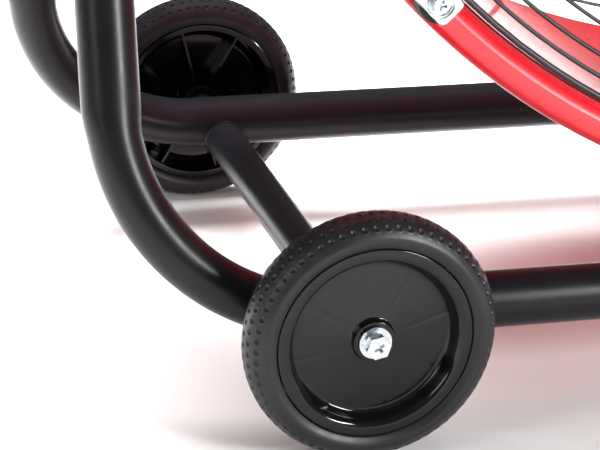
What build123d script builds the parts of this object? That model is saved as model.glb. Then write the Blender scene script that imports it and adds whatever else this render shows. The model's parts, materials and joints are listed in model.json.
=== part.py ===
from build123d import *
import os
from math import cos, pi, radians, sin, sqrt, tan

# Tilting drum fan on a two-wheeled tube frame.
# Millimetres, +Z up. The origin is on the floor under the drum's centre.
# X runs along the floor rails, wheels at -X; the guard that blows air out faces -Y.

# --- driving dimensions -------------------------------------------------------------------
BLADE_DIAMETER = 914.0          # nominal 36 inch fan
WHEEL_RADIUS = 76.0             # 6 inch wheel
WHEEL_WIDTH = 36.0
WHEEL_X = -391.0                # wheel axis from the drum's centre plane
WHEEL_TRACK = 433.0             # between the two wheels' centre planes
TUBE_RADIUS = 17.5              # frame tube, 35 mm
TUBE_WALL = 1.8
RAIL_SPACING = 343.0            # between the floor rails' centre lines
RAIL_HEIGHT = 72.0
BEND_START_X = 398.2            # where each rail starts to bend up
BEND_RADIUS = 130.0
UPRIGHT_LEAN = 0.6              # degrees, each upright leans outward along X
FRAME_SLOPE = 17.7              # degrees, each U tube leans in to the tilt axis
UPRIGHT_TOP_Z = 550.0
TILT_AXIS_Z = 601.0
DRUM_HALF_DEPTH = 153.5
RIM_RADIUS = 497.5
SHEET = 1.4                     # drum sheet thickness
SHELL_RADIUS = 473.5            # middle of the drum sheet
GUARD_RING_RADIUS = 470.5
GUARD_PLANE = 150.0             # guard rings from the drum's middle plane
BRACE_RADIUS = 13.35            # cross tubes between the rails
GAP = 0.3                       # clearance between pieces of different bodies

# --- smaller sizes ------------------------------------------------------------------------
AXLE_BRACE_X, FOOT_BRACE_X, BRACE_Z = -384.0, 340.0, 63.0
BRACE_REACH = 166.0
AXLE_BOLT_RADIUS = 4.0
AXLE_BOSS_RADIUS = 8.0
AXLE_BOSS_INNER, AXLE_BOSS_OUTER = 172.0, 198.0
LEG_RADIUS = 13.5
LEG_X = 391.0
LEG_BOTTOM = 8.0
FOOT_RADIUS, FOOT_HEIGHT, FOOT_TAPER, FOOT_EDGE = 20.0, 28.0, 4, 2.0
HANDLE_Z = 300.0
HANDLE_RADIUS = 11.0
GRIP_RADIUS, GRIP_HALF_LENGTH, GRIP_EDGE = 16.0, 58.0, 3.0
PLATE_OUTER_X, PLATE_THICKNESS = 513.7, 5.0
PLATE_BOTTOM_Z, PLATE_HALF_WIDTH, PLATE_TOP_RADIUS = 465.0, 50.0, 36.0
PLATE_SIDE = 75.0               # straight lower part of a pivot plate's sides
STUD_RADIUS = 6.0
STUD_INNER_X = 480.0
PIVOT_BUSH_RADIUS, PIVOT_BUSH_END_X = 16.0, 500.0
DOUBLER_THICKNESS, DOUBLER_HALF = 3.0, 42.0
RUNNING_CLEARANCE = 0.06
WIRE_RADIUS = 1.35
WIRE_SIDES = 12                 # the fine rings have a twelve-sided section, to keep their meshes light
HEAVY_WIRE_RADIUS = 2.0
SPOKE_COUNT = 16
CLIP_COUNT = 8
CLIP_RADIUS = 484.0
STEM_RADIUS = 5.0               # grommet stem through the rim
MEDALLION_RADIUS = 62.0
MOTOR_RADIUS = 76.0
MOTOR_WALL = 4.0
SHAFT_RADIUS = 8.0
HUB_RADIUS = 55.0
BLADE_COUNT = 3
BLADE_THICKNESS = 2.0
BAR_OFFSET_Z = 70.0
BAR_FRONT_Y, BAR_DEPTH, BAR_HEIGHT, BAR_WALL = 116.0, 22.0, 26.0, 1.8
BAR_BOLT_Y = BAR_FRONT_Y + BAR_DEPTH / 2
BOLT_RADIUS = 4.0

os.makedirs("parts", exist_ok=True)


def save(piece, label):
    piece.part.label = label
    export_step(piece.part, f"parts/{label}.step")


# --- frame: two U tubes that lean together ------------------------------------------------
slope = radians(FRAME_SLOPE)
lean = radians(UPRIGHT_LEAN)
corner_x = BEND_START_X + BEND_RADIUS * tan((pi / 2 - lean) / 2)
top_s = (UPRIGHT_TOP_Z - RAIL_HEIGHT) / cos(slope)


def upright_x(s):
    """Distance of an upright's centre line from the middle, s along the sloping plane."""
    return corner_x + s * tan(lean)


def frame_plane(side):
    """Plane of one U tube. side is -1 for the front tube and +1 for the rear one."""
    rise = Vector(0, -side * sin(slope), cos(slope))
    across = Vector(1, 0, 0)
    return Plane(origin=(0, side * RAIL_SPACING / 2, RAIL_HEIGHT), x_dir=across, z_dir=across.cross(rise))


def u_tube(side, outer, inner=0.0):
    """A U tube with its two upright ends open at the top."""
    plane = frame_plane(side)
    with BuildPart() as tube:
        with BuildLine(plane) as route:
            FilletPolyline(
                (-upright_x(top_s), top_s), (-corner_x, 0), (corner_x, 0), (upright_x(top_s), top_s),
                radius=BEND_RADIUS,
            )
        line = route.wires()[0]
        with BuildSketch(Plane(origin=line @ 0, z_dir=line % 0)):
            Circle(outer)
            if inner:
                Circle(inner, mode=Mode.SUBTRACT)
        sweep(path=line)
    return tube


front_solid_tube = u_tube(-1, TUBE_RADIUS)
rear_solid_tube = u_tube(1, TUBE_RADIUS)


def cut_frame_tubes():
    """Cope the piece being built to both U tubes."""
    add(front_solid_tube.part, mode=Mode.SUBTRACT)
    add(rear_solid_tube.part, mode=Mode.SUBTRACT)


def y_cylinder(radius, x, z, y_from, y_to, mode=Mode.ADD):
    """A cylinder along Y inside the part being built."""
    with BuildSketch(Plane(origin=(x, min(y_from, y_to), z), x_dir=(1, 0, 0), z_dir=(0, 1, 0))) as disc:
        Circle(radius)
    extrude(disc.sketch, amount=abs(y_to - y_from), mode=mode)


def x_cylinder(radius, y, z, x_from, x_to, mode=Mode.ADD):
    """A cylinder along X inside the part being built."""
    with BuildSketch(Plane(origin=(min(x_from, x_to), y, z), x_dir=(0, 1, 0), z_dir=(1, 0, 0))) as disc:
        Circle(radius)
    extrude(disc.sketch, amount=abs(x_to - x_from), mode=mode)


for name, side in (("front_frame_tube", -1), ("rear_frame_tube", 1)):
    with BuildPart() as frame_tube:
        add(u_tube(side, TUBE_RADIUS, TUBE_RADIUS - TUBE_WALL).part)
        y_cylinder(AXLE_BOSS_RADIUS, WHEEL_X, WHEEL_RADIUS, side * AXLE_BOSS_INNER,
                   side * AXLE_BOSS_OUTER, mode=Mode.SUBTRACT)
    save(frame_tube, name)

for name, x in (("axle_cross_tube", AXLE_BRACE_X), ("foot_cross_tube", FOOT_BRACE_X)):
    with BuildPart() as brace:
        y_cylinder(BRACE_RADIUS, x, BRACE_Z, -BRACE_REACH, BRACE_REACH)
        y_cylinder(BRACE_RADIUS - TUBE_WALL, x, BRACE_Z, -BRACE_REACH, BRACE_REACH, mode=Mode.SUBTRACT)
        cut_frame_tubes()
    save(brace, name)

with BuildPart() as axle_bosses:
    for side in (-1, 1):
        y_cylinder(AXLE_BOSS_RADIUS, WHEEL_X, WHEEL_RADIUS, side * AXLE_BOSS_INNER, side * AXLE_BOSS_OUTER)
        y_cylinder(AXLE_BOLT_RADIUS, WHEEL_X, WHEEL_RADIUS, side * AXLE_BOSS_INNER, side * AXLE_BOSS_OUTER,
                   mode=Mode.SUBTRACT)
save(axle_bosses, "axle_bosses")

CAP_RIM, CAP_DEPTH = 2.0, 14.0
with BuildPart() as tube_end_caps:
    for side in (-1, 1):
        plane = frame_plane(side)
        rise = plane.y_dir
        for end in (-1, 1):
            mouth = plane.from_local_coords((end * upright_x(top_s), top_s, 0))
            along = (rise + Vector(end * tan(lean), 0, 0)).normalized()
            with BuildSketch(Plane(origin=mouth, z_dir=along)):
                Circle(TUBE_RADIUS - CAP_RIM / 2)
            extrude(amount=CAP_RIM)
            with BuildSketch(Plane(origin=mouth, z_dir=along)):
                Circle(TUBE_RADIUS - TUBE_WALL)
            extrude(amount=-CAP_DEPTH)
save(tube_end_caps, "tube_end_caps")

# --- pivot plates, welded to the inner faces of the uprights ------------------------------
for name, side in (("pivot_plate_left", -1), ("pivot_plate_right", 1)):
    inner_x = PLATE_OUTER_X - PLATE_THICKNESS
    with BuildPart() as pivot_plate:
        with BuildSketch(Plane(origin=(side * inner_x, 0, 0), x_dir=(0, side, 0), z_dir=(side, 0, 0))):
            with BuildLine():
                edge = Polyline(
                    (-PLATE_HALF_WIDTH, PLATE_BOTTOM_Z), (PLATE_HALF_WIDTH, PLATE_BOTTOM_Z),
                    (PLATE_HALF_WIDTH, PLATE_BOTTOM_Z + PLATE_SIDE), (PLATE_TOP_RADIUS, TILT_AXIS_Z),
                )
                RadiusArc(edge @ 1, (-PLATE_TOP_RADIUS, TILT_AXIS_Z), -PLATE_TOP_RADIUS)
                Polyline((-PLATE_TOP_RADIUS, TILT_AXIS_Z), (-PLATE_HALF_WIDTH, PLATE_BOTTOM_Z + PLATE_SIDE),
                         (-PLATE_HALF_WIDTH, PLATE_BOTTOM_Z))
            make_face()
            with Locations((0, TILT_AXIS_Z)):
                Circle(STUD_RADIUS + RUNNING_CLEARANCE, mode=Mode.SUBTRACT)
        extrude(amount=PLATE_THICKNESS)
        cut_frame_tubes()
    save(pivot_plate, name)

# --- legs and rubber feet under the end without wheels ------------------------------------
for name, side in (("front_leg", -1), ("rear_leg", 1)):
    with BuildPart() as leg:
        with BuildSketch(Plane(origin=(LEG_X, side * RAIL_SPACING / 2, LEG_BOTTOM))):
            Circle(LEG_RADIUS)
            Circle(LEG_RADIUS - TUBE_WALL, mode=Mode.SUBTRACT)
        extrude(amount=RAIL_HEIGHT - LEG_BOTTOM)
        cut_frame_tubes()
        # Coping leaves offcuts above and inside the rail.
        for scrap in leg.part.solids().sort_by(Axis.Z)[1:]:
            add(scrap, mode=Mode.SUBTRACT)
    save(leg, name)

for name, side in (("front_foot", -1), ("rear_foot", 1)):
    with BuildPart() as foot:
        with BuildSketch(Plane(origin=(LEG_X, side * RAIL_SPACING / 2, 0))):
            Circle(FOOT_RADIUS)
        extrude(amount=FOOT_HEIGHT, taper=FOOT_TAPER)
        fillet(foot.edges().sort_by(Axis.Z)[0], FOOT_EDGE)
        with BuildSketch(Plane(origin=(LEG_X, side * RAIL_SPACING / 2, LEG_BOTTOM))):
            Circle(LEG_RADIUS)
        extrude(amount=FOOT_HEIGHT, mode=Mode.SUBTRACT)
    save(foot, name)

# --- lifting handle between the two right uprights ----------------------------------------
handle_s = (HANDLE_Z - RAIL_HEIGHT) / cos(slope)
handle_x = upright_x(handle_s)
handle_reach = RAIL_SPACING / 2 - handle_s * sin(slope)
with BuildPart() as lift_handle:
    y_cylinder(HANDLE_RADIUS, handle_x, HANDLE_Z, -handle_reach, handle_reach)
    y_cylinder(HANDLE_RADIUS - TUBE_WALL, handle_x, HANDLE_Z, -handle_reach, handle_reach, mode=Mode.SUBTRACT)
    cut_frame_tubes()
save(lift_handle, "lift_handle")

with BuildPart() as handle_grip:
    y_cylinder(GRIP_RADIUS, handle_x, HANDLE_Z, -GRIP_HALF_LENGTH, GRIP_HALF_LENGTH)
    fillet(handle_grip.edges().filter_by(GeomType.CIRCLE), GRIP_EDGE)
    y_cylinder(HANDLE_RADIUS, handle_x, HANDLE_Z, -GRIP_HALF_LENGTH, GRIP_HALF_LENGTH, mode=Mode.SUBTRACT)
save(handle_grip, "handle_grip")


# --- wheels -------------------------------------------------------------------------------
RIM_SEAT = 59.3                 # radius where the tyre sits on the rim
RIM_INNER = 54.5
RIM_HALF = 14.0
RECESS_RADIUS = 48.0
FACE = 13.5                     # outer ring face, out from the wheel's centre plane
WEB_EDGE, WEB_CENTRE, WEB_THICKNESS = 3.0, 6.5, 3.0
BOSS_RADIUS = 13.0
BOSS_INNER, BOSS_OUTER = -17.3, 10.5
BUSH_RADIUS = 6.5
RIB_COUNT, RIB_THICKNESS, RIB_BACK, RIB_TURN = 8, 1.8, -11.0, 15.0
TREAD_SHOULDER = 9.0


def wheel_plane(side):
    """Half plane through the wheel's axis: local X is the radius, local Y points outboard."""
    origin = (WHEEL_X, side * WHEEL_TRACK / 2, WHEEL_RADIUS)
    return Plane(origin=origin, x_dir=(1, 0, 0), z_dir=Vector(1, 0, 0).cross(Vector(0, side, 0)))


def wheel_axis(side):
    return Axis((WHEEL_X, side * WHEEL_TRACK / 2, WHEEL_RADIUS), (0, side, 0))


for side, end in ((-1, "front"), (1, "rear")):
    with BuildPart() as tyre:
        with BuildSketch(wheel_plane(side)):
            with BuildLine():
                half = WHEEL_WIDTH / 2
                Line((RIM_SEAT, -RIM_HALF), (RIM_SEAT, RIM_HALF))
                Spline(
                    (RIM_SEAT, RIM_HALF), (RIM_SEAT + 6, half - 1), (WHEEL_RADIUS - 5, half - 2),
                    (WHEEL_RADIUS, TREAD_SHOULDER),
                    tangents=((0.4, 1), (0, -1)), tangent_scalars=(0.6, 0.6),
                )
                Line((WHEEL_RADIUS, TREAD_SHOULDER), (WHEEL_RADIUS, -TREAD_SHOULDER))
                Spline(
                    (WHEEL_RADIUS, -TREAD_SHOULDER), (WHEEL_RADIUS - 5, 2 - half), (RIM_SEAT + 6, 1 - half),
                    (RIM_SEAT, -RIM_HALF),
                    tangents=((0, -1), (-0.4, 1)), tangent_scalars=(0.6, 0.6),
                )
            make_face()
        revolve(axis=wheel_axis(side))
    save(tyre, f"tyre_{end}")

    with BuildPart() as rim:
        with BuildSketch(wheel_plane(side)):
            with BuildLine():
                Polyline(
                    (RIM_SEAT, -RIM_HALF), (RIM_SEAT, RIM_HALF - 0.5), (RIM_SEAT - 0.8, FACE + 0.3),
                    (RECESS_RADIUS + 1.2, FACE + 0.3), (RECESS_RADIUS, FACE - 1), (RECESS_RADIUS - 1.5, WEB_EDGE),
                    (BOSS_RADIUS, WEB_CENTRE), (BOSS_RADIUS - 0.6, BOSS_OUTER), (BUSH_RADIUS, BOSS_OUTER),
                    (BUSH_RADIUS, BOSS_INNER), (BOSS_RADIUS, BOSS_INNER),
                    (BOSS_RADIUS, WEB_CENTRE - WEB_THICKNESS), (RECESS_RADIUS, WEB_EDGE - WEB_THICKNESS),
                    (RECESS_RADIUS + 1.5, FACE - WEB_THICKNESS), (RIM_INNER, FACE - WEB_THICKNESS),
                    (RIM_INNER, -RIM_HALF), close=True,
                )
            make_face()
        revolve(axis=wheel_axis(side))
        spread = (RIM_INNER + BOSS_RADIUS) / 2
        for k in range(RIB_COUNT):
            spoke = Vector(1, 0, 0).rotate(Axis.Y, 360 * k / RIB_COUNT - RIB_TURN)
            back = Plane(origin=wheel_axis(side).position + Vector(0, side * RIB_BACK, 0), x_dir=spoke,
                         z_dir=(0, side, 0))
            with BuildSketch(back):
                with Locations((spread, 0)):
                    Rectangle(RIM_INNER - BOSS_RADIUS + 1.0, RIB_THICKNESS)
            extrude(amount=WEB_EDGE - WEB_THICKNESS / 2 - RIB_BACK)
    save(rim, f"wheel_rim_{end}")

    with BuildPart() as bush:
        bush_bore = AXLE_BOLT_RADIUS + RUNNING_CLEARANCE
        with BuildSketch(wheel_plane(side)):
            with Locations(((bush_bore + BUSH_RADIUS) / 2, (BOSS_INNER + BOSS_OUTER) / 2)):
                Rectangle(BUSH_RADIUS - bush_bore, BOSS_OUTER - BOSS_INNER)
        revolve(axis=wheel_axis(side))
    save(bush, f"wheel_bush_{end}")

# --- axle bolts, each with a plain and a spring washer ---------------------------------------
WASHER_RADIUS, WASHER_THICKNESS = 9.8, 1.6
SPRING_RADIUS, SPRING_THICKNESS = 7.2, 2.0
HEAD_FLATS, HEAD_HEIGHT = 13.0, 5.3
HEAD_TURN = 12
CROSS_LENGTH, CROSS_WIDTH, CROSS_DEPTH, CROSS_TURN = 6.6, 1.8, 3.0, 35
BOLT_IN_BOSS = 2.0              # how far the bolt's end stands inside its boss
washer_seat = WHEEL_TRACK / 2 + BOSS_OUTER + GAP
bolt_seat = washer_seat + WASHER_THICKNESS + SPRING_THICKNESS

with BuildPart() as axle_washers:
    for side in (-1, 1):
        middle = side * (washer_seat + WASHER_THICKNESS)
        y_cylinder(WASHER_RADIUS, WHEEL_X, WHEEL_RADIUS, side * washer_seat, middle)
        y_cylinder(SPRING_RADIUS, WHEEL_X, WHEEL_RADIUS, middle, side * bolt_seat)
        y_cylinder(AXLE_BOLT_RADIUS, WHEEL_X, WHEEL_RADIUS, side * washer_seat, side * bolt_seat,
                   mode=Mode.SUBTRACT)
save(axle_washers, "axle_washers")

with BuildPart() as axle_bolts:
    for side in (-1, 1):
        y_cylinder(AXLE_BOLT_RADIUS, WHEEL_X, WHEEL_RADIUS, side * (AXLE_BOSS_INNER + BOLT_IN_BOSS),
                   side * bolt_seat)
        seat_centre = (WHEEL_X, side * bolt_seat, WHEEL_RADIUS)
        under_head = Plane(origin=seat_centre, x_dir=(1, 0, 0), z_dir=(0, side, 0))
        with BuildSketch(under_head):
            RegularPolygon(HEAD_FLATS / 2, 6, major_radius=False, rotation=HEAD_TURN)
        extrude(amount=HEAD_HEIGHT)
        with BuildSketch(under_head.offset(HEAD_HEIGHT)):
            Rectangle(CROSS_LENGTH, CROSS_WIDTH, rotation=CROSS_TURN)
            Rectangle(CROSS_WIDTH, CROSS_LENGTH, rotation=CROSS_TURN)
        extrude(amount=-CROSS_DEPTH, mode=Mode.SUBTRACT)
save(axle_bolts, "axle_bolts")

# --- drum shell: one rolled sheet with a flared rim at each end -----------------------------
# Rim section: how far in from the rim's outer edge, and how far behind its front plane.
RIM_SECTION = (
    (RIM_RADIUS - SHELL_RADIUS, 22.0), (RIM_RADIUS - SHELL_RADIUS, 13.0), (23.8, 9.0), (23.0, 7.0),
    (21.9, 7.6), (20.4, 6.4), (18.6, 3.6), (16.0, 1.7), (13.0, 0.75), (9.0, 0.7), (5.0, 1.4),
    (2.0, 3.6), (0.7, 7.0), (0.7, 10.0),
)


def side_line(points, distance):
    """Points moved sideways by a distance, for one surface of the rim's sheet."""
    moved = []
    last = len(points) - 1
    for i, (r, y) in enumerate(points):
        r0, y0 = points[max(i - 1, 0)]
        r1, y1 = points[min(i + 1, last)]
        length = sqrt((r1 - r0) ** 2 + (y1 - y0) ** 2)
        moved.append((r + distance * (y1 - y0) / length, y - distance * (r1 - r0) / length))
    return moved


centre_line = [(RIM_RADIUS - inset, -(DRUM_HALF_DEPTH - behind)) for inset, behind in RIM_SECTION]
inside_line = side_line(centre_line, SHEET / 2)
outside_line = side_line(centre_line, -SHEET / 2)


def mirrored(points):
    return [(r, -y) for r, y in points]


section_plane = Plane(origin=(0, 0, TILT_AXIS_Z), x_dir=(1, 0, 0), z_dir=(0, 0, 1))
drum_axis = Axis((0, 0, TILT_AXIS_Z), (0, 1, 0))
shell_outer = SHELL_RADIUS + SHEET / 2
shell_inner = SHELL_RADIUS - SHEET / 2


def z_of(row):
    """Height of the upper (+1) or lower (-1) motor bar."""
    return TILT_AXIS_Z + row * BAR_OFFSET_Z


RIM_DRILL_DEPTH = 10.0

with BuildPart() as drum_shell:
    with BuildSketch(section_plane):
        with BuildLine():
            Polyline(*inside_line, *reversed(outside_line), *mirrored(outside_line),
                     *reversed(mirrored(inside_line)), close=True)
        make_face()
    revolve(axis=drum_axis)
    # Holes for the stems of the guard grommets.
    for side in (-1, 1):
        drill_start = (0, side * (DRUM_HALF_DEPTH + 1), TILT_AXIS_Z)
        with BuildSketch(Plane(origin=drill_start, x_dir=(1, 0, 0), z_dir=(0, -side, 0))):
            with PolarLocations(CLIP_RADIUS, CLIP_COUNT):
                Circle(STEM_RADIUS)
        extrude(amount=RIM_DRILL_DEPTH, mode=Mode.SUBTRACT)
    # Holes for the bolts of the motor bars.
    for row in (-1, 1):
        x_cylinder(BOLT_RADIUS, BAR_BOLT_Y, z_of(row), -2 * RIM_RADIUS, 2 * RIM_RADIUS, mode=Mode.SUBTRACT)
save(drum_shell, "drum_shell")

# --- guards: heavy outer ring with spokes and a blank centre plate, then the fine rings ------
close_rings = (459.6, 448.3)
RING_PITCH, FIRST_EVEN_RING, EVEN_RINGS = 16.0, 432.3, 23
ring_radii = close_rings + tuple(FIRST_EVEN_RING - RING_PITCH * k for k in range(EVEN_RINGS))
SPOKE_PLANE = GUARD_PLANE - WIRE_RADIUS - HEAVY_WIRE_RADIUS - 0.03

for side, end in ((-1, "front"), (1, "rear")):
    with BuildPart() as guard_frame:
        with BuildSketch(section_plane):
            with Locations((GUARD_RING_RADIUS, side * GUARD_PLANE)):
                Circle(HEAVY_WIRE_RADIUS)
        revolve(axis=drum_axis)
        with BuildSketch(section_plane):
            with BuildLine():
                Polyline((0, side * (SPOKE_PLANE + 1.0)), (MEDALLION_RADIUS - 4, side * (SPOKE_PLANE + 1.0)),
                         (MEDALLION_RADIUS, side * (SPOKE_PLANE - 2.0)),
                         (MEDALLION_RADIUS, side * (SPOKE_PLANE - 3.0)),
                         (MEDALLION_RADIUS - 5, side * (SPOKE_PLANE - 0.4)),
                         (0, side * (SPOKE_PLANE - 0.4)), close=True)
            make_face()
        revolve(axis=drum_axis)
        for k in range(SPOKE_COUNT):
            way = Vector(1, 0, 0).rotate(Axis.Y, 360 * k / SPOKE_COUNT)
            start = Vector(0, side * SPOKE_PLANE, TILT_AXIS_Z) + way * (MEDALLION_RADIUS - 8)
            with BuildSketch(Plane(origin=start, z_dir=way)):
                Circle(HEAVY_WIRE_RADIUS)
            extrude(amount=GUARD_RING_RADIUS - MEDALLION_RADIUS + 8)
    save(guard_frame, f"{end}_guard_frame")

    with BuildPart() as guard_rings:
        with BuildSketch(section_plane):
            for radius in ring_radii:
                with Locations((radius, side * GUARD_PLANE)):
                    RegularPolygon(WIRE_RADIUS, WIRE_SIDES)
        revolve(axis=drum_axis)
    save(guard_rings, f"{end}_guard_rings")

# --- guard clips: rubber grommet in the rim, zinc plate over it, screw and threaded insert ----
SCREW_RADIUS = 3.0
GROMMET_RADIUS, GROMMET_HEIGHT, GROMMET_LIFT = 12.5, 11.0, 0.2
STEM_LENGTH = 12.0
INSERT_RADIUS, INSERT_LENGTH = 4.2, 9.0
CLIP_THICKNESS = 1.5
CLIP_LENGTH, CLIP_WIDTH, CLIP_CORNER, CLIP_INSET, CLIP_SHIFT = 30.0, 19.8, 4.3, 0.8, 2.7
TONGUE_WIDTH, TONGUE_SHIFT = 9.0, 11.0
HOOK_RADIUS, HOOK_DEPTH = 465.6, 17.0
SCREW_HEAD_RADIUS, SCREW_HEAD_HEIGHT, SCREW_HEAD_TAPER = 6.0, 3.6, 18
RECESS_LENGTH, RECESS_WIDTH, RECESS_DEPTH, RECESS_TURN = 6.4, 1.6, 2.4, 30


def rim_plane(side, k, out):
    """Plane at clip k: local X points away from the drum's axis, local Z out of the drum."""
    way = Vector(1, 0, 0).rotate(Axis.Y, 360 * k / CLIP_COUNT)
    origin = Vector(0, side * (DRUM_HALF_DEPTH + out), TILT_AXIS_Z) + way * CLIP_RADIUS
    return Plane(origin=origin, x_dir=way, z_dir=(0, side, 0))


clip_places = [(side, k) for side in (-1, 1) for k in range(CLIP_COUNT)]

with BuildPart() as guard_grommets:
    for side, k in clip_places:
        with BuildSketch(rim_plane(side, k, GROMMET_LIFT)):
            Circle(GROMMET_RADIUS)
        extrude(amount=GROMMET_HEIGHT - GROMMET_LIFT)
        with BuildSketch(rim_plane(side, k, GROMMET_LIFT)):
            Circle(STEM_RADIUS)
        extrude(amount=-STEM_LENGTH - GROMMET_LIFT)
        with BuildSketch(rim_plane(side, k, GROMMET_HEIGHT)):
            Circle(SCREW_RADIUS)
        extrude(amount=-GROMMET_HEIGHT - STEM_LENGTH, mode=Mode.SUBTRACT)
        with BuildSketch(rim_plane(side, k, -STEM_LENGTH)):
            Circle(INSERT_RADIUS)
        extrude(amount=INSERT_LENGTH, mode=Mode.SUBTRACT)
save(guard_grommets, "guard_grommets")

with BuildPart() as guard_clips:
    for side, k in clip_places:
        with BuildSketch(rim_plane(side, k, GROMMET_HEIGHT)):
            with Locations((-CLIP_INSET, side * CLIP_SHIFT)):
                RectangleRounded(CLIP_WIDTH, CLIP_LENGTH, CLIP_CORNER)
            with Locations((-(CLIP_RADIUS - HOOK_RADIUS) / 2, side * TONGUE_SHIFT)):
                Rectangle(CLIP_RADIUS - HOOK_RADIUS, TONGUE_WIDTH)
            Circle(SCREW_RADIUS, mode=Mode.SUBTRACT)
        extrude(amount=CLIP_THICKNESS)
        with BuildSketch(rim_plane(side, k, GROMMET_HEIGHT + CLIP_THICKNESS)):
            with Locations((-(CLIP_RADIUS - HOOK_RADIUS) + CLIP_THICKNESS / 2, side * TONGUE_SHIFT)):
                Rectangle(CLIP_THICKNESS, TONGUE_WIDTH)
        extrude(amount=-HOOK_DEPTH)
save(guard_clips, "guard_clips")

with BuildPart() as guard_screws:
    for side, k in clip_places:
        with BuildSketch(rim_plane(side, k, -STEM_LENGTH)):
            Circle(SCREW_RADIUS)
        extrude(amount=GROMMET_HEIGHT + CLIP_THICKNESS + STEM_LENGTH)
        with BuildSketch(rim_plane(side, k, GROMMET_HEIGHT + CLIP_THICKNESS)):
            Circle(SCREW_HEAD_RADIUS)
        extrude(amount=SCREW_HEAD_HEIGHT, taper=SCREW_HEAD_TAPER)
        with BuildSketch(rim_plane(side, k, GROMMET_HEIGHT + CLIP_THICKNESS + SCREW_HEAD_HEIGHT)):
            Rectangle(RECESS_LENGTH, RECESS_WIDTH, rotation=RECESS_TURN)
            Rectangle(RECESS_WIDTH, RECESS_LENGTH, rotation=RECESS_TURN)
        extrude(amount=-RECESS_DEPTH, mode=Mode.SUBTRACT)
save(guard_screws, "guard_screws")

with BuildPart() as guard_inserts:
    for side, k in clip_places:
        with BuildSketch(rim_plane(side, k, -STEM_LENGTH)):
            Circle(INSERT_RADIUS)
            Circle(SCREW_RADIUS, mode=Mode.SUBTRACT)
        extrude(amount=INSERT_LENGTH)
save(guard_inserts, "guard_inserts")

# --- tilt pivots: a bush with a doubler plate on each side of the drum, and a clamp knob -----
WASHER_OUTER, WASHER_GAP = 24.0, 0.3
KNOB_BOSS_RADIUS, KNOB_LOBE_RADIUS, KNOB_LOBES = 13.0, 30.0, 6
KNOB_START_X = PLATE_OUTER_X + GAP
KNOB_BOSS_LENGTH, KNOB_HEAD_LENGTH = 12.0, 20.0
KNOB_EDGE, STUD_IN_KNOB = 3.0, 24.0
FINGER_RADIUS, FINGER_CENTRE = 10.0, KNOB_LOBE_RADIUS + 5   # hollows between the knob's lobes
DOUBLER_CUT = 40.0              # depth of the block that cuts a doubler from its ring
BUSH_IN_DRUM = 8.0

for side, end in ((-1, "left"), (1, "right")):
    with BuildPart() as pivot_boss:
        with BuildSketch(Plane(origin=(0, -DOUBLER_HALF, TILT_AXIS_Z), x_dir=(1, 0, 0), z_dir=(0, 1, 0))):
            Circle(shell_outer + DOUBLER_THICKNESS)
            with Locations((side * shell_outer, 0)):
                Rectangle(DOUBLER_CUT, 2 * DOUBLER_HALF, mode=Mode.INTERSECT)
        extrude(amount=2 * DOUBLER_HALF)
        x_cylinder(PIVOT_BUSH_RADIUS, 0, TILT_AXIS_Z, side * (shell_outer - BUSH_IN_DRUM),
                   side * PIVOT_BUSH_END_X)
        y_cylinder(shell_outer, 0, TILT_AXIS_Z, -2 * DOUBLER_HALF, 2 * DOUBLER_HALF, mode=Mode.SUBTRACT)
        x_cylinder(STUD_RADIUS + RUNNING_CLEARANCE, 0, TILT_AXIS_Z, side * (STUD_INNER_X - 1),
                   side * (PIVOT_BUSH_END_X + 1), mode=Mode.SUBTRACT)
    save(pivot_boss, f"pivot_boss_{end}")

    with BuildPart() as friction_washer:
        x_cylinder(WASHER_OUTER, 0, TILT_AXIS_Z, side * PIVOT_BUSH_END_X,
                   side * (PLATE_OUTER_X - PLATE_THICKNESS - WASHER_GAP))
        x_cylinder(STUD_RADIUS + GAP, 0, TILT_AXIS_Z, side * PIVOT_BUSH_END_X,
                   side * (PLATE_OUTER_X - PLATE_THICKNESS - WASHER_GAP), mode=Mode.SUBTRACT)
    save(friction_washer, f"friction_washer_{end}")

    with BuildPart() as tilt_stud:
        x_cylinder(STUD_RADIUS, 0, TILT_AXIS_Z, side * STUD_INNER_X, side * (KNOB_START_X + STUD_IN_KNOB))
    save(tilt_stud, f"tilt_stud_{end}")

    with BuildPart() as tilt_knob:
        head_x = side * (KNOB_START_X + KNOB_BOSS_LENGTH)
        x_cylinder(KNOB_BOSS_RADIUS, 0, TILT_AXIS_Z, side * KNOB_START_X, head_x)
        with BuildSketch(Plane(origin=(head_x, 0, TILT_AXIS_Z), x_dir=(0, 1, 0), z_dir=(side, 0, 0))):
            Circle(KNOB_LOBE_RADIUS)
            with PolarLocations(FINGER_CENTRE, KNOB_LOBES):
                Circle(FINGER_RADIUS, mode=Mode.SUBTRACT)
        extrude(amount=KNOB_HEAD_LENGTH)
        fillet(tilt_knob.faces().sort_by(Axis.X)[-1 if side > 0 else 0].edges(), KNOB_EDGE)
        x_cylinder(STUD_RADIUS, 0, TILT_AXIS_Z, side * KNOB_START_X, side * (KNOB_START_X + STUD_IN_KNOB),
                   mode=Mode.SUBTRACT)
    save(tilt_knob, f"tilt_knob_{end}")

# --- motor mount: two bars across the drum and a plate ---------------------------------------
PLATE_Y, MOTOR_PLATE_THICKNESS = 112.0, 4.0
PLATE_SIZE_X, PLATE_SIZE_Z, PLATE_CORNER, PLATE_HOLE = 170.0, 190.0, 16.0, 20.0
PLATE_BOLT_PITCH = 134.0
BAR_CORNER, BAR_INNER_CORNER, BAR_END_GAP = 3.0, 1.2, 0.05
BOLT_FLATS, BOLT_HEAD = 13.0, 5.0
BAR_BOLT_LENGTH = 18.0
bar_bolt_seat = sqrt(shell_outer ** 2 - (BAR_OFFSET_Z - BOLT_FLATS / 2) ** 2) + 0.2


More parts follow.
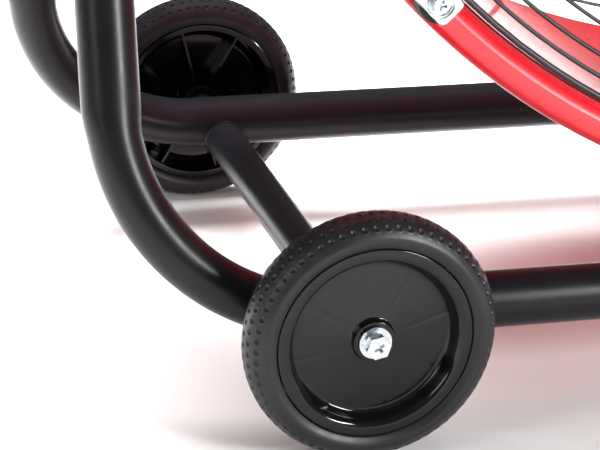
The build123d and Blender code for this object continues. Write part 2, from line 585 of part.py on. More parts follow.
for row, name in ((1, "motor_bar_upper"), (-1, "motor_bar_lower")):
    with BuildPart() as motor_bar:
        with BuildSketch(Plane(origin=(-shell_outer, BAR_BOLT_Y, z_of(row)), x_dir=(0, 1, 0), z_dir=(1, 0, 0))):
            RectangleRounded(BAR_DEPTH, BAR_HEIGHT, BAR_CORNER)
            RectangleRounded(BAR_DEPTH - 2 * BAR_WALL, BAR_HEIGHT - 2 * BAR_WALL, BAR_INNER_CORNER,
                             mode=Mode.SUBTRACT)
        extrude(amount=2 * shell_outer)
        with BuildSketch(Plane(origin=(0, 0, TILT_AXIS_Z), x_dir=(1, 0, 0), z_dir=(0, 1, 0))):
            Circle(shell_inner - BAR_END_GAP)
        extrude(amount=DRUM_HALF_DEPTH, mode=Mode.INTERSECT)
    save(motor_bar, name)

with BuildPart() as bar_bolts:
    for row in (-1, 1):
        for side in (-1, 1):
            x_cylinder(BOLT_RADIUS, BAR_BOLT_Y, z_of(row), side * (bar_bolt_seat - BAR_BOLT_LENGTH),
                       side * bar_bolt_seat)
            seat_centre = (side * bar_bolt_seat, BAR_BOLT_Y, z_of(row))
            with BuildSketch(Plane(origin=seat_centre, x_dir=(0, 1, 0), z_dir=(side, 0, 0))):
                RegularPolygon(BOLT_FLATS / 2, 6, major_radius=False)
            extrude(amount=BOLT_HEAD)
save(bar_bolts, "bar_bolts")

with BuildPart() as motor_plate:
    with BuildSketch(Plane(origin=(0, PLATE_Y, TILT_AXIS_Z), x_dir=(1, 0, 0), z_dir=(0, 1, 0))):
        RectangleRounded(PLATE_SIZE_X, PLATE_SIZE_Z, PLATE_CORNER)
        with GridLocations(PLATE_BOLT_PITCH, 2 * BAR_OFFSET_Z, 2, 2):
            Circle(BOLT_RADIUS, mode=Mode.SUBTRACT)
        Circle(PLATE_HOLE, mode=Mode.SUBTRACT)
    extrude(amount=MOTOR_PLATE_THICKNESS)
save(motor_plate, "motor_plate")

with BuildPart() as plate_bolts:
    front = Plane(origin=(0, PLATE_Y, TILT_AXIS_Z), x_dir=(1, 0, 0), z_dir=(0, -1, 0))
    with BuildSketch(front):
        with GridLocations(PLATE_BOLT_PITCH, 2 * BAR_OFFSET_Z, 2, 2):
            RegularPolygon(BOLT_FLATS / 2, 6, major_radius=False)
    extrude(amount=BOLT_HEAD)
    with BuildSketch(front):
        with GridLocations(PLATE_BOLT_PITCH, 2 * BAR_OFFSET_Z, 2, 2):
            Circle(BOLT_RADIUS)
    extrude(amount=-MOTOR_PLATE_THICKNESS)
save(plate_bolts, "plate_bolts")

# --- motor: housing, two end caps, stator, rotor on its shaft, two bearings ------------------
MOTOR_FRONT, MOTOR_BACK = 6.0, 98.0
CAP_LENGTH = 14.0
BEARING_RADIUS, BEARING_LENGTH = 17.0, 11.0
STATOR_INNER, STATOR_LENGTH = 44.0, 60.0
ROTOR_RADIUS = STATOR_INNER - 0.6
FIN_COUNT, FIN_HEIGHT, FIN_WIDTH, FIN_SETBACK = 24, 5.0, 3.0, 4.0
FIN_ROOT = 1.0                  # how far each fin runs into the housing
CAP_FACE = 3.0                  # wall of the front cap before its bearing
BEARING_PROUD = 2.0             # how far the rear bearing stands out of its cap
SHAFT_HOLE = 1.0                # gap round the shaft in the front cap
SHAFT_FRONT = -76.0


def ring_y(outer, inner, y_from, y_to):
    """A ring about the drum's axis inside the part being built."""
    y_cylinder(outer, 0, TILT_AXIS_Z, y_from, y_to)
    y_cylinder(inner, 0, TILT_AXIS_Z, y_from, y_to, mode=Mode.SUBTRACT)


body_front = MOTOR_FRONT + CAP_LENGTH
with BuildPart() as motor_housing:
    ring_y(MOTOR_RADIUS - FIN_HEIGHT, MOTOR_RADIUS - FIN_HEIGHT - MOTOR_WALL, body_front, MOTOR_BACK)
    fin_start = (0, body_front + FIN_SETBACK, TILT_AXIS_Z)
    with BuildSketch(Plane(origin=fin_start, x_dir=(1, 0, 0), z_dir=(0, 1, 0))):
        with PolarLocations(MOTOR_RADIUS - (FIN_HEIGHT + FIN_ROOT) / 2, FIN_COUNT):
            Rectangle(FIN_HEIGHT + FIN_ROOT, FIN_WIDTH)
    extrude(amount=MOTOR_BACK - body_front - 2 * FIN_SETBACK)
save(motor_housing, "motor_housing")

with BuildPart() as motor_front_cap:
    with BuildSketch(section_plane):
        with BuildLine():
            Polyline(
                (SHAFT_RADIUS + SHAFT_HOLE, MOTOR_FRONT), (30, MOTOR_FRONT), (MOTOR_RADIUS - 12, MOTOR_FRONT + 5),
                (MOTOR_RADIUS - 2, body_front - 4), (MOTOR_RADIUS - 2, body_front),
                (BEARING_RADIUS, body_front), (BEARING_RADIUS, MOTOR_FRONT + CAP_FACE),
                (SHAFT_RADIUS + SHAFT_HOLE, MOTOR_FRONT + CAP_FACE), close=True,
            )
        make_face()
    revolve(axis=drum_axis)
save(motor_front_cap, "motor_front_cap")

rear_bearing_front = MOTOR_BACK - BEARING_PROUD
shaft_back = rear_bearing_front + BEARING_LENGTH - BEARING_PROUD

with BuildPart() as motor_rear_cap:
    with BuildSketch(section_plane):
        with BuildLine():
            Polyline(
                (0, PLATE_Y), (MOTOR_RADIUS - 8, PLATE_Y), (MOTOR_RADIUS - 2, PLATE_Y - 6),
                (MOTOR_RADIUS - 2, MOTOR_BACK), (BEARING_RADIUS + 5, MOTOR_BACK),
                (BEARING_RADIUS + 5, rear_bearing_front), (BEARING_RADIUS, rear_bearing_front),
                (BEARING_RADIUS, rear_bearing_front + BEARING_LENGTH),
                (0, rear_bearing_front + BEARING_LENGTH), close=True,
            )
        make_face()
    revolve(axis=drum_axis)
save(motor_rear_cap, "motor_rear_cap")

stator_mid = (body_front + MOTOR_BACK) / 2
with BuildPart() as motor_stator:
    ring_y(MOTOR_RADIUS - FIN_HEIGHT - MOTOR_WALL, STATOR_INNER, stator_mid - STATOR_LENGTH / 2,
           stator_mid + STATOR_LENGTH / 2)
save(motor_stator, "motor_stator")

with BuildPart() as motor_bearings:
    front_bearing = MOTOR_FRONT + CAP_FACE
    ring_y(BEARING_RADIUS, SHAFT_RADIUS + RUNNING_CLEARANCE, front_bearing, front_bearing + BEARING_LENGTH)
    ring_y(BEARING_RADIUS, SHAFT_RADIUS + RUNNING_CLEARANCE, rear_bearing_front, shaft_back)
save(motor_bearings, "motor_bearings")

CAPACITOR_RADIUS, CAPACITOR_LENGTH, CAPACITOR_X, CAPACITOR_EDGE = 20.0, 70.0, 128.0, 3.0
CAPACITOR_GAP, CAPACITOR_RISE = 1.0, 8.0
CLAMP_THICKNESS, CLAMP_WIDTH, CLAMP_TAB, CLAMP_DROP, CLAMP_BITE = 1.5, 16.0, 24.0, 9.0, 0.5


def capacitor_plane(x):
    """Plane square to the capacitor, which lies along X in front of the upper motor bar."""
    centre = (x, BAR_FRONT_Y - CAPACITOR_RADIUS - CAPACITOR_GAP, z_of(1) + BAR_HEIGHT / 2 + CAPACITOR_RISE)
    return Plane(origin=centre, x_dir=(0, 1, 0), z_dir=(1, 0, 0))


with BuildPart() as run_capacitor:
    with BuildSketch(capacitor_plane(CAPACITOR_X)):
        Circle(CAPACITOR_RADIUS)
    extrude(amount=CAPACITOR_LENGTH)
    fillet(run_capacitor.edges().filter_by(GeomType.CIRCLE), CAPACITOR_EDGE)
save(run_capacitor, "run_capacitor")

with BuildPart() as capacitor_clamp:
    with BuildSketch(capacitor_plane(CAPACITOR_X + (CAPACITOR_LENGTH - CLAMP_WIDTH) / 2)):
        Circle(CAPACITOR_RADIUS + CLAMP_THICKNESS)
        with Locations((CAPACITOR_RADIUS + CLAMP_THICKNESS / 2 - CLAMP_BITE, -CLAMP_DROP)):
            Rectangle(CLAMP_THICKNESS, CLAMP_TAB)
        Circle(CAPACITOR_RADIUS, mode=Mode.SUBTRACT)
    extrude(amount=CLAMP_WIDTH)
save(capacitor_clamp, "capacitor_clamp")

with BuildPart() as motor_shaft:
    y_cylinder(SHAFT_RADIUS, 0, TILT_AXIS_Z, SHAFT_FRONT, shaft_back)
save(motor_shaft, "motor_shaft")

with BuildPart() as motor_rotor:
    ring_y(ROTOR_RADIUS, SHAFT_RADIUS, stator_mid - STATOR_LENGTH / 2, stator_mid + STATOR_LENGTH / 2)
save(motor_rotor, "motor_rotor")

# --- fan: cast hub with three pressed blades -------------------------------------------------
HUB_BACK, HUB_FRONT, HUB_NOSE = 0.0, -84.0, 12.0
HUB_WALL, HUB_POCKET = 8.0, 30.0
BLADE_MID_Y = -42.0
# Each blade section: radius, chord, pitch in degrees.
BLADE_SECTIONS = ((50.0, 120.0, 42.0), (180.0, 205.0, 31.0), (320.0, 250.0, 24.0), (457.0, 262.0, 19.0))
CAMBER = 0.07

with BuildPart() as fan_hub:
    y_cylinder(HUB_RADIUS, 0, TILT_AXIS_Z, HUB_FRONT, HUB_BACK)
    fillet(fan_hub.edges().sort_by(Axis.Y)[0], HUB_NOSE)
    y_cylinder(HUB_RADIUS - HUB_WALL, 0, TILT_AXIS_Z, HUB_BACK - HUB_POCKET, HUB_BACK, mode=Mode.SUBTRACT)
    y_cylinder(SHAFT_RADIUS, 0, TILT_AXIS_Z, SHAFT_FRONT, HUB_BACK, mode=Mode.SUBTRACT)
save(fan_hub, "fan_hub")


def blade_section(way, radius, chord, pitch):
    """Closed cambered outline across the blade at one radius, on a plane square to the blade."""
    plane = Plane(origin=Vector(0, BLADE_MID_Y, TILT_AXIS_Z) + way * radius, x_dir=(0, 1, 0), z_dir=way)
    c, s = cos(radians(90 - pitch)), sin(radians(90 - pitch))
    sag = CAMBER * chord

    def turn(u, v):
        return (u * c - v * s, u * s + v * c)

    half = chord / 2
    with BuildSketch(plane) as outline:
        with BuildLine():
            ThreePointArc(turn(-half, 0), turn(0, sag + BLADE_THICKNESS), turn(half, 0))
            Line(turn(half, 0), turn(half, -BLADE_THICKNESS))
            ThreePointArc(turn(half, -BLADE_THICKNESS), turn(0, sag), turn(-half, -BLADE_THICKNESS))
            Line(turn(-half, -BLADE_THICKNESS), turn(-half, 0))
        make_face()
    return outline


with BuildPart() as fan_blades:
    for k in range(BLADE_COUNT):
        way = Vector(0, 0, 1).rotate(Axis.Y, 360 * k / BLADE_COUNT)
        loft([blade_section(way, *size).sketch for size in BLADE_SECTIONS])
    y_cylinder(HUB_RADIUS, 0, TILT_AXIS_Z, -DRUM_HALF_DEPTH, DRUM_HALF_DEPTH, mode=Mode.SUBTRACT)
    y_cylinder(BLADE_DIAMETER / 2, 0, TILT_AXIS_Z, -DRUM_HALF_DEPTH, DRUM_HALF_DEPTH, mode=Mode.INTERSECT)
save(fan_blades, "fan_blades")

# --- switch box on the drum's upper right, with its knob and cable gland ----------------------
BOX_ANGLE = 45.0
BOX_LENGTH, BOX_WIDTH, BOX_HEIGHT = 84.0, 70.0, 46.0
box_way = Vector(cos(radians(BOX_ANGLE)), 0, sin(radians(BOX_ANGLE)))


def box_plane(out, y=0.0, along=0.0):
    """Plane square to the drum's radius at the switch box: local X along the rim, local Y along +Y."""
    tangent = Vector(-sin(radians(BOX_ANGLE)), 0, cos(radians(BOX_ANGLE)))
    origin = Vector(0, y, TILT_AXIS_Z) + box_way * (shell_outer + out) + tangent * along
    return Plane(origin=origin, x_dir=tangent * -1, z_dir=box_way)


BOX_WALL, BOX_CORNER, BOX_EDGE, BOX_SINK, BOX_CAVITY = 3.0, 8.0, 4.0, 6.0, 30.0
SPINDLE_RADIUS, SPINDLE_LENGTH = 3.0, 12.0
GLAND_LENGTH, GLAND_BORE, GLAND_HEX, GLAND_NUT, GLAND_NOSE, GLAND_TAPER = 22.0, 4.5, 10.0, 6.0, 9.0, 8
gland_side = box_plane(BOX_HEIGHT / 2, along=-BOX_LENGTH / 2)
gland_plane = Plane(origin=gland_side.origin, x_dir=(0, 1, 0), z_dir=gland_side.x_dir)

with BuildPart() as switch_box:
    with BuildSketch(box_plane(-BOX_SINK)):
        RectangleRounded(BOX_LENGTH, BOX_WIDTH, BOX_CORNER)
    extrude(amount=BOX_HEIGHT + BOX_SINK)
    fillet(switch_box.faces().sort_by(Axis(origin=(0, 0, 0), direction=box_way))[-1].edges(), BOX_EDGE)
    y_cylinder(shell_outer, 0, TILT_AXIS_Z, -BOX_WIDTH, BOX_WIDTH, mode=Mode.SUBTRACT)
    with BuildSketch(box_plane(BOX_HEIGHT - BOX_CAVITY)):
        RectangleRounded(BOX_LENGTH - 2 * BOX_WALL, BOX_WIDTH - 2 * BOX_WALL, BOX_CORNER - BOX_WALL)
    extrude(amount=BOX_CAVITY - BOX_WALL, mode=Mode.SUBTRACT)
    with BuildSketch(box_plane(BOX_HEIGHT - BOX_WALL)):
        Circle(SPINDLE_RADIUS + GAP)
    extrude(amount=BOX_WALL, mode=Mode.SUBTRACT)
    with BuildSketch(gland_plane):
        Circle(GLAND_BORE)
    extrude(amount=-BOX_WALL, mode=Mode.SUBTRACT)
save(switch_box, "switch_box")

KNOB_RADIUS, KNOB_HEIGHT, KNOB_BASE, KNOB_BAR = 16.0, 14.0, 5.0, 9.0
with BuildPart() as switch_knob:
    with BuildSketch(box_plane(BOX_HEIGHT + GAP)):
        Circle(KNOB_RADIUS)
    extrude(amount=KNOB_BASE)
    with BuildSketch(box_plane(BOX_HEIGHT + GAP + KNOB_BASE)):
        SlotOverall(2 * KNOB_RADIUS - 2, KNOB_BAR)
    extrude(amount=KNOB_HEIGHT - KNOB_BASE)
    with BuildSketch(box_plane(BOX_HEIGHT + GAP)):
        Circle(SPINDLE_RADIUS)
    extrude(amount=-SPINDLE_LENGTH)
save(switch_knob, "switch_knob")

SWITCH_SIZE, SWITCH_DEPTH = 26.0, 22.0
with BuildPart() as rotary_switch:
    with BuildSketch(box_plane(BOX_HEIGHT - BOX_WALL - 1 - SWITCH_DEPTH)):
        Rectangle(SWITCH_SIZE, SWITCH_SIZE)
        Circle(SPINDLE_RADIUS + GAP, mode=Mode.SUBTRACT)
    extrude(amount=SWITCH_DEPTH)
save(rotary_switch, "rotary_switch")

with BuildPart() as cable_gland:
    with BuildSketch(gland_plane):
        RegularPolygon(GLAND_HEX, 6, major_radius=False)
    extrude(amount=GLAND_NUT)
    with BuildSketch(gland_plane.offset(GLAND_NUT)):
        Circle(GLAND_NOSE)
    extrude(amount=GLAND_LENGTH - GLAND_NUT, taper=GLAND_TAPER)
    with BuildSketch(gland_plane):
        Circle(GLAND_BORE)
    extrude(amount=GLAND_LENGTH, mode=Mode.SUBTRACT)
save(cable_gland, "cable_gland")
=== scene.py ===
import json
from math import cos, exp, hypot, pi, radians, sin, tan

import bmesh
import bpy
import numpy as np
from mathutils import Matrix, Vector


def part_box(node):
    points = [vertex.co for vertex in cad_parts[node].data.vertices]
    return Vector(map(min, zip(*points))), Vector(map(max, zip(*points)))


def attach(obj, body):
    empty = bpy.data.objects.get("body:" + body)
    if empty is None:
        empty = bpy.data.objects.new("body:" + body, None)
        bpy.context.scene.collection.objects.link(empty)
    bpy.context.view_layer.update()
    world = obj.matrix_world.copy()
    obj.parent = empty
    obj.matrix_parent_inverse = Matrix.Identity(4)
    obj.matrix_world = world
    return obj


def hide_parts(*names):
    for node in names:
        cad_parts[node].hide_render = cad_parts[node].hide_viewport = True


# Tilting drum fan on a two-wheeled tube frame. Metres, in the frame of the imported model:
# X along the floor rails with the wheels at -X, the outlet guard facing -Y, Z up.

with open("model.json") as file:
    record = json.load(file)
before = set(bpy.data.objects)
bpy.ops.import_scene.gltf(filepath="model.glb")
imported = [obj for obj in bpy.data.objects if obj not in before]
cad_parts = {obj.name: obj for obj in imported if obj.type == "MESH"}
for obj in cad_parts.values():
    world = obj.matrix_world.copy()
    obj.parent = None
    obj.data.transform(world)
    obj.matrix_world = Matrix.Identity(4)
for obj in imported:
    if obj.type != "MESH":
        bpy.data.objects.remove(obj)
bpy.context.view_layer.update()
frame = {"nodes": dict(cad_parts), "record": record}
nodes = frame["nodes"]


def middle(node):
    low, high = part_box(node)
    return (Vector(low) + Vector(high)) / 2


def size(node):
    low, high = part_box(node)
    return Vector(high) - Vector(low)


# --- materials ---------------------------------------------------------------------------
def add(tree, kind, **values):
    """A node of that kind, with its properties and its sockets' values set."""
    node = tree.nodes.new(kind)
    for name, value in values.items():
        if hasattr(node, name):
            setattr(node, name, value)
        else:
            node.inputs[name.replace("_", " ")].default_value = value
    return node


RAMP_STOPS = (0.35, 0.68)       # where a surface's two colours stop drifting into each other
SMEAR_SCALE = 3.1               # how much finer the uneven gloss is than the colour patches


def material(name, colour, second, roughness, rough_spread=0.06, metallic=0.0, specular=0.5, coat=0.0,
             coat_roughness=0.1, patch=18.0, grain=900.0, grain_depth=0.00003, dent=0.0, stretch=(1, 1, 1)):
    """A surface whose colour drifts in soft patches, with uneven gloss and a fine bump.

    patch and grain are noise scales per metre, grain_depth the height of the fine bump in metres,
    and dent the height of a broad bump, such as the waves of pressed sheet.
    """
    made = bpy.data.materials.new(name)
    made.use_nodes = True
    tree = made.node_tree
    shader = tree.nodes["Principled BSDF"]
    shader.inputs["Metallic"].default_value = metallic
    shader.inputs["Specular IOR Level"].default_value = specular
    shader.inputs["Coat Weight"].default_value = coat
    shader.inputs["Coat Roughness"].default_value = coat_roughness
    place = add(tree, "ShaderNodeTexCoord")
    scaled = add(tree, "ShaderNodeMapping", Scale=stretch)
    tree.links.new(place.outputs["Object"], scaled.inputs["Vector"])

    drift = add(tree, "ShaderNodeTexNoise", Scale=patch, Detail=4.0, Roughness=0.6)
    tree.links.new(scaled.outputs["Vector"], drift.inputs["Vector"])
    ramp = add(tree, "ShaderNodeValToRGB")
    for stop, place_on_ramp, tint in zip(ramp.color_ramp.elements, RAMP_STOPS, (colour, second)):
        stop.position = place_on_ramp
        stop.color = (*tint, 1)
    tree.links.new(drift.outputs["Fac"], ramp.inputs["Fac"])
    tree.links.new(ramp.outputs["Color"], shader.inputs["Base Color"])

    smear = add(tree, "ShaderNodeTexNoise", Scale=patch * SMEAR_SCALE, Detail=5.0, Roughness=0.65)
    tree.links.new(scaled.outputs["Vector"], smear.inputs["Vector"])
    gloss = add(tree, "ShaderNodeMapRange", From_Min=0.3, From_Max=0.7, To_Min=roughness - rough_spread,
                To_Max=roughness + rough_spread)
    tree.links.new(smear.outputs["Fac"], gloss.inputs["Value"])
    tree.links.new(gloss.outputs["Result"], shader.inputs["Roughness"])

    fine = add(tree, "ShaderNodeTexNoise", Scale=grain, Detail=2.0, Roughness=0.5)
    tree.links.new(scaled.outputs["Vector"], fine.inputs["Vector"])
    bump = add(tree, "ShaderNodeBump", Strength=1.0, Distance=grain_depth)
    tree.links.new(fine.outputs["Fac"], bump.inputs["Height"])
    tree.links.new(bump.outputs["Normal"], shader.inputs["Normal"])
    if dent:
        waves = add(tree, "ShaderNodeTexNoise", Scale=patch, Detail=1.0, Roughness=0.4)
        tree.links.new(place.outputs["Object"], waves.inputs["Vector"])
        broad = add(tree, "ShaderNodeBump", Strength=1.0, Distance=dent)
        tree.links.new(waves.outputs["Fac"], broad.inputs["Height"])
        tree.links.new(broad.outputs["Normal"], bump.inputs["Normal"])
    return made


looks = {
    "frame_paint": material("powder_black", (0.0065, 0.006, 0.0075), (0.009, 0.0085, 0.0105), 0.33, 0.04,
                            specular=0.24, grain=700.0, grain_depth=0.00004),
    "black_plastic": material("moulded_black", (0.012, 0.012, 0.012), (0.02, 0.02, 0.02), 0.45, grain=1600.0),
    "rubber": material("black_rubber", (0.012, 0.012, 0.012), (0.022, 0.022, 0.021), 0.62, 0.1, specular=0.35,
                       grain=1300.0, grain_depth=0.00006),
    "wheel_plastic": material("gloss_black", (0.0035, 0.0032, 0.0038), (0.0055, 0.0052, 0.0058), 0.11, 0.03,
                              specular=0.36, patch=40.0, grain=160.0, grain_depth=0.00002),
    "bush_plastic": material("nylon", (0.55, 0.54, 0.5), (0.66, 0.65, 0.6), 0.5),
    "tyre_rubber": material("tyre_rubber", (0.007, 0.0066, 0.008), (0.012, 0.0115, 0.013), 0.42, 0.06,
                            specular=0.4, patch=35.0, grain=1500.0, grain_depth=0.00004),
    "zinc": material("bright_zinc", (0.60, 0.64, 0.68), (0.80, 0.83, 0.84), 0.24, 0.08, metallic=1.0,
                     patch=90.0, grain=1500.0, grain_depth=0.00002),
    "drum_paint": material("powder_red", (0.63, 0.012, 0.022), (0.70, 0.016, 0.027), 0.3, 0.04, specular=0.5,
                           coat=0.45, coat_roughness=0.14, patch=9.0, grain=420.0, grain_depth=0.000015),
    "guard_paint": material("wire_black", (0.010, 0.010, 0.0115), (0.018, 0.018, 0.02), 0.34, 0.06,
                            specular=0.5, grain=1200.0, grain_depth=0.00003),
    "motor_paint": material("enamel_black", (0.012, 0.012, 0.014), (0.02, 0.02, 0.023), 0.33, grain=650.0,
                            grain_depth=0.00004),
    "lamination_steel": material("laminations", (0.16, 0.15, 0.15), (0.3, 0.29, 0.28), 0.5, metallic=1.0,
                                 stretch=(1, 12, 1), patch=60.0),
    "steel": material("ground_steel", (0.5, 0.5, 0.52), (0.66, 0.66, 0.67), 0.28, metallic=1.0, patch=80.0,
                      stretch=(6, 1, 6)),
    "blade_aluminium": material("mill_aluminium", (0.62, 0.63, 0.65), (0.74, 0.75, 0.77), 0.34, 0.07,
                                metallic=1.0, patch=14.0, stretch=(1, 5, 1), grain=900.0),
}
for row in frame["record"]["subparts"]:
    shown = nodes[row["node"]].data
    shown.materials.clear()
    shown.materials.append(looks[row["material_slot"]])


# --- mesh helpers ------------------------------------------------------------------------
def piece(name, vertices, faces, body, slot):
    """A mesh piece that rides on a body and takes its finish from a material slot."""
    mesh = bpy.data.meshes.new(name)
    mesh.from_pydata([tuple(v) for v in vertices], [], faces)
    mesh.update()
    made = bpy.data.objects.new(name, mesh)
    bpy.context.scene.collection.objects.link(made)
    build = bmesh.new()
    build.from_mesh(mesh)
    bmesh.ops.recalc_face_normals(build, faces=build.faces)
    build.to_mesh(mesh)
    build.free()
    for face in mesh.polygons:
        face.use_smooth = True
    mesh.materials.append(looks[slot])
    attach(made, body)
    return made


def grid_faces(rows, columns, wrap_rows=False):
    """Quads between the points of a grid stored row by row, each row closed on itself."""
    faces = []
    for i in range(rows if wrap_rows else rows - 1):
        for j in range(columns):
            right, down = (j + 1) % columns, (i + 1) % rows
            faces.append((i * columns + j, i * columns + right, down * columns + right, down * columns + j))
    return faces


# --- tyres: rounded tread with rows of round dimples --------------------------------------
TURN_STEPS, PROFILE_STEPS = 840, 120
DIMPLES_ROUND, DIMPLE_ROWS = 66, 5
DIMPLE_RADIUS, DIMPLE_DEPTH, ROW_SPACING = 0.0017, 0.0010, 0.0067
TYRE_SEAT, TYRE_CORNER = 0.0594, 2.15
BEAD_REACH, BEAD_TUCK, BEAD_POWER = 0.0075, 0.21, 1.6
DIMPLE_POWER = 0.8
# The raised lip round a dimple: its place and width in dimple radii, its height in dimple depths.
LIP_PLACE, LIP_WIDTH, LIP_HEIGHT = 1.25, 0.3, 0.16


def tyre(node, body):
    """The tyre's outside as a turned super-ellipse, closed along the seat on the rim."""
    centre, extent = middle(node), size(node)
    radius, half = extent.z / 2, extent.y / 2
    angle = np.linspace(-pi / 2, pi / 2, PROFILE_STEPS)
    power = 2 / TYRE_CORNER
    width = half * np.sign(np.sin(angle)) * np.abs(np.sin(angle)) ** power
    height = TYRE_SEAT + (radius - TYRE_SEAT) * np.abs(np.cos(angle)) ** power
    inward = np.clip((TYRE_SEAT + BEAD_REACH - height) / BEAD_REACH, 0, 1)
    width *= 1 - BEAD_TUCK * inward ** BEAD_POWER
    along = np.concatenate([[0], np.cumsum(np.hypot(np.diff(width), np.diff(height)))])
    along -= along[-1] / 2
    turn = np.linspace(0, 2 * pi, TURN_STEPS, endpoint=False)
    sink = np.zeros((PROFILE_STEPS, TURN_STEPS))
    for row in range(DIMPLE_ROWS):
        place = (row - (DIMPLE_ROWS - 1) / 2) * ROW_SPACING
        pitch = 2 * pi / DIMPLES_ROUND
        offset = (turn + pitch * (row % 2) / 2 + pitch / 2) % pitch - pitch / 2
        gap = np.hypot(offset[None, :] * radius, (along - place)[:, None])
        dip = np.clip(1 - (gap / DIMPLE_RADIUS) ** 2, 0, 1)
        lip = np.exp(-((gap - LIP_PLACE * DIMPLE_RADIUS) / (LIP_WIDTH * DIMPLE_RADIUS)) ** 2)
        sink += dip ** DIMPLE_POWER * DIMPLE_DEPTH - LIP_HEIGHT * DIMPLE_DEPTH * lip
    slope_y, slope_r = np.gradient(width), np.gradient(height)
    length = np.hypot(slope_y, slope_r)
    out_y, out_r = -slope_r / length, slope_y / length
    y = width[:, None] - out_y[:, None] * sink
    r = height[:, None] - out_r[:, None] * sink
    x = centre.x + r * np.cos(turn)
    z = centre.z + r * np.sin(turn)
    points = np.stack([x, centre.y + y, z], -1).reshape(-1, 3)
    faces = grid_faces(PROFILE_STEPS, TURN_STEPS, wrap_rows=True)
    made = piece(node + "_detail", points, faces, body, "tyre_rubber")
    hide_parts(node)


tyre("tyre_front", "wheel_front")
tyre("tyre_rear", "wheel_rear")


# --- wheel centres: moulded discs, ribbed behind, with faint sink marks over the ribs ----------
# Section points: radius, distance out from the wheel's middle plane, rounding of the corner.
RIM_PROFILE = (
    (0.0588, 0.0136, 0.0008), (0.0512, 0.0136, 0.0034), (0.0478, 0.0030, 0.0026), (0.0130, 0.0066, 0.0012),
    (0.0124, 0.0104, 0.0006), (0.0066, 0.0104, 0.0003), (0.0066, -0.0172, 0.0003), (0.0130, -0.0172, 0.0006),
    (0.0130, 0.0036, 0.0010), (0.0480, 0.0000, 0.0015), (0.0500, 0.0105, 0.0012), (0.0545, 0.0105, 0.0008),
    (0.0545, -0.0140, 0.0003), (0.0588, -0.0140, 0.0003),
)
RIB_COUNT, RIB_START, RIB_HALF, RIB_BACK, RIB_FRONT = 8, radians(15), 0.0009, -0.0110, 0.0012
RIB_INNER, RIB_OUTER = 0.0125, 0.0550
SINK_DEPTH, SINK_WIDTH, CORNER_STEPS, WEB_STEPS, RIM_TURNS = 0.00022, 0.0013, 6, 14, 480
WEB_INNER, WEB_OUTER, WEB_FRONT, LONG_RUN = 0.0135, 0.0475, 0.0025, 0.02
CORNER_SHARE = 0.45             # most of a side that one rounded corner may take
RIM_SHARP, CLIP_SHARP = radians(60), radians(50)


def rounded(corners, steps):
    """A closed outline through corners, each rounded off by its own distance."""
    line = []
    count = len(corners)
    for i, (x, y, cut) in enumerate(corners):
        here = Vector((x, y))
        ends = []
        for j in (i - 1, (i + 1) % count):
            to = Vector(corners[j][:2]) - here
            ends.append(here + to * min(cut / to.length, CORNER_SHARE))
        for k in range(steps + 1):
            t = k / steps
            line.append(ends[0] * (1 - t) ** 2 + here * (2 * t * (1 - t)) + ends[1] * t * t)
    return line


def wheel_rim(node, body, side):
    """The turned rim with its web, and eight flat ribs behind the web."""
    centre = middle("tyre_" + node.rsplit("_", 1)[1])
    outline = rounded(RIM_PROFILE, CORNER_STEPS)
    line = []
    for i, here in enumerate(outline):
        there = outline[(i + 1) % len(outline)]
        parts = WEB_STEPS if (there - here).length > LONG_RUN else 1
        line += [here.lerp(there, k / parts) for k in range(parts)]
    points = []
    pitch = 2 * pi / RIB_COUNT
    for radius, out in line:
        on_web = WEB_INNER < radius < WEB_OUTER and out > WEB_FRONT
        for k in range(RIM_TURNS):
            turn = 2 * pi * k / RIM_TURNS
            sink = 0.0
            if on_web:
                off = ((turn - RIB_START + pitch / 2) % pitch - pitch / 2) * radius
                sink = SINK_DEPTH * exp(-(off / SINK_WIDTH) ** 2) * radius / WEB_OUTER
            points.append((centre.x + radius * cos(turn), centre.y + side * (out - sink),
                           centre.z + radius * sin(turn)))
    faces = grid_faces(len(line), RIM_TURNS, wrap_rows=True)
    for k in range(RIB_COUNT):
        turn = RIB_START + 2 * pi * k / RIB_COUNT
        along = Vector((cos(turn), 0, sin(turn)))
        across = Vector((-sin(turn), 0, cos(turn))) * RIB_HALF
        first = len(points)
        for radius in (RIB_INNER, RIB_OUTER):
            for out in (RIB_BACK, RIB_FRONT):
                foot = centre + along * radius + Vector((0, side * out, 0))
                points += [foot - across, foot + across]
        faces += [tuple(first + i for i in face) for face in
                  ((0, 1, 3, 2), (4, 5, 7, 6), (0, 1, 5, 4), (2, 3, 7, 6), (0, 2, 6, 4), (1, 3, 7, 5))]
    made = piece(node + "_detail", points, faces, body, "wheel_plastic")
    made.data.set_sharp_from_angle(angle=RIM_SHARP)
    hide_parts(node)


wheel_rim("wheel_rim_front", "wheel_front", -1)
wheel_rim("wheel_rim_rear", "wheel_rear", 1)

# --- frame tubes, with the slight flattening that cold bending leaves -----------------------
TUBE_RADIUS, TUBE_WALL = 0.0175, 0.0018
RAIL_HALF_SPACING, RAIL_HEIGHT = 0.1715, 0.072
BEND_START, BEND_RADIUS = 0.3982, 0.130
LEAN, SLOPE, UPRIGHT_TOP = radians(0.6), radians(17.7), 0.550
FLATTENED, WIDENED, EASE = 0.085, 0.03, 0.022
TUBE_SIDES, BEND_STEPS, STRAIGHT_STEPS = 96, 90, 30


def smooth_step(value):
    value = min(max(value, 0.0), 1.0)
    return value * value * (3 - 2 * value)


